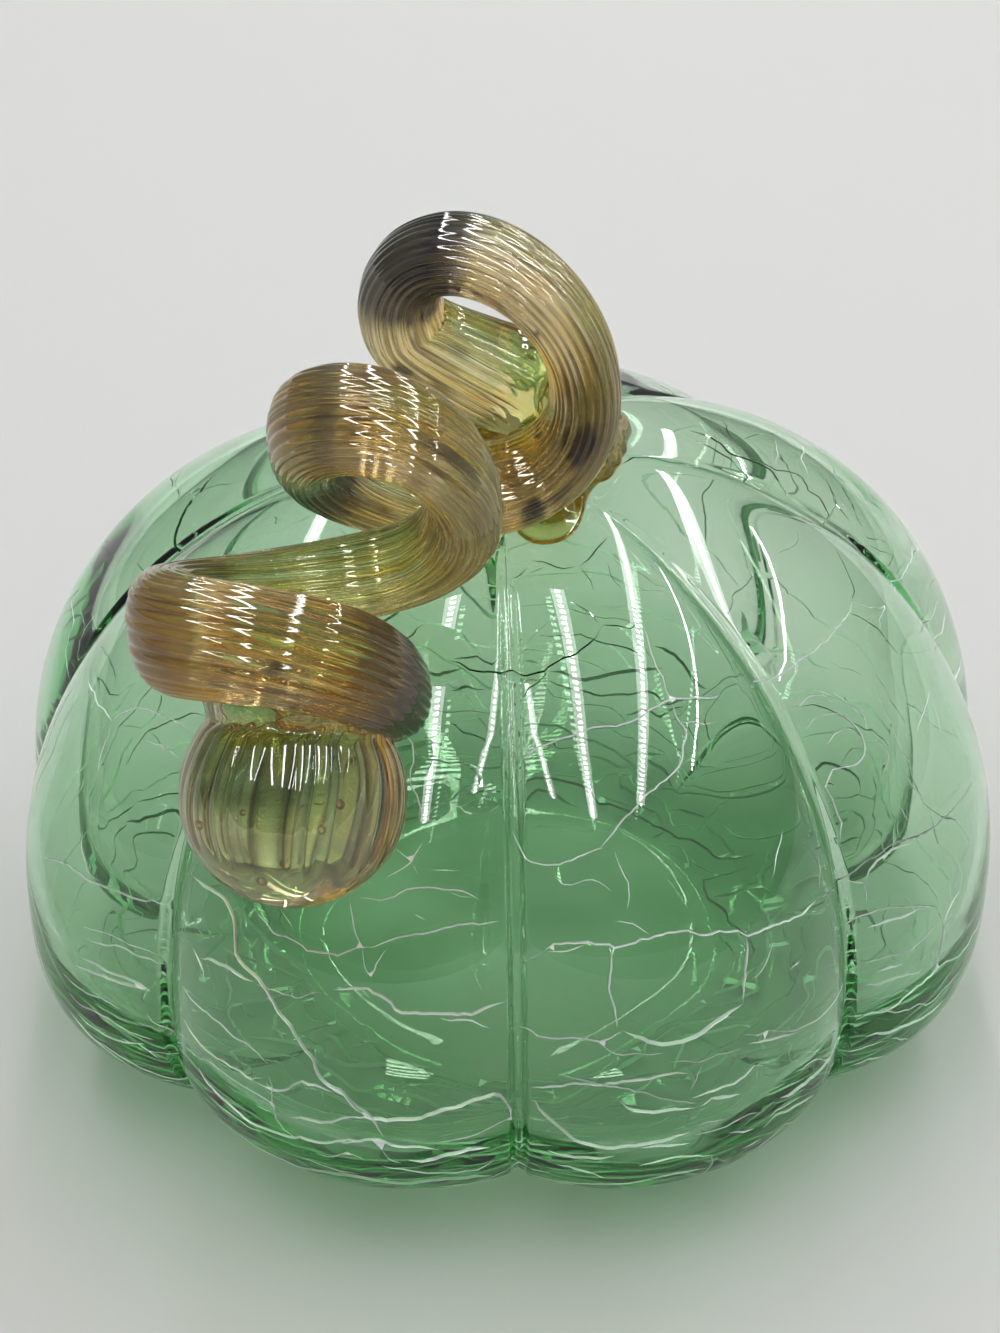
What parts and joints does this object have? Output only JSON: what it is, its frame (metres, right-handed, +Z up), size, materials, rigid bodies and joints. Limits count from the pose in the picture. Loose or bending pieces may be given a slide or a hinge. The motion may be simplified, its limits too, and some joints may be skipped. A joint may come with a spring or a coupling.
{
  "type": "glass pumpkin ornament",
  "caption": "Hand-blown crackle-glass pumpkin ornament: hollow lobed green body with a flat base, and an amber ribbed corkscrew stem that ends in a ball.",
  "frame": {"origin": "on the body's axis, at the level of the flat base that the pumpkin stands on", "axes": "+Z up along the body's axis, -Y to the front of the picture, where the stem hangs over the left shoulder, +X to the right seen from the front"},
  "size_m": [0.1947, 0.2046, 0.1752],
  "materials": {
    "green_crackle_glass": "glossy transparent green crackle glass",
    "foot_amber_glass": "glossy transparent olive amber glass",
    "stem_amber_glass": "glossy ribbed amber glass with brown and smoky streaks",
    "knob_amber_glass": "glossy ribbed olive amber glass"
  },
  "bodies": {
    "root": {"pumpkin_body": "green_crackle_glass", "stem_foot": "foot_amber_glass", "stem_coil": "stem_amber_glass", "stem_knob": "knob_amber_glass"}
  },
  "joints": []
}
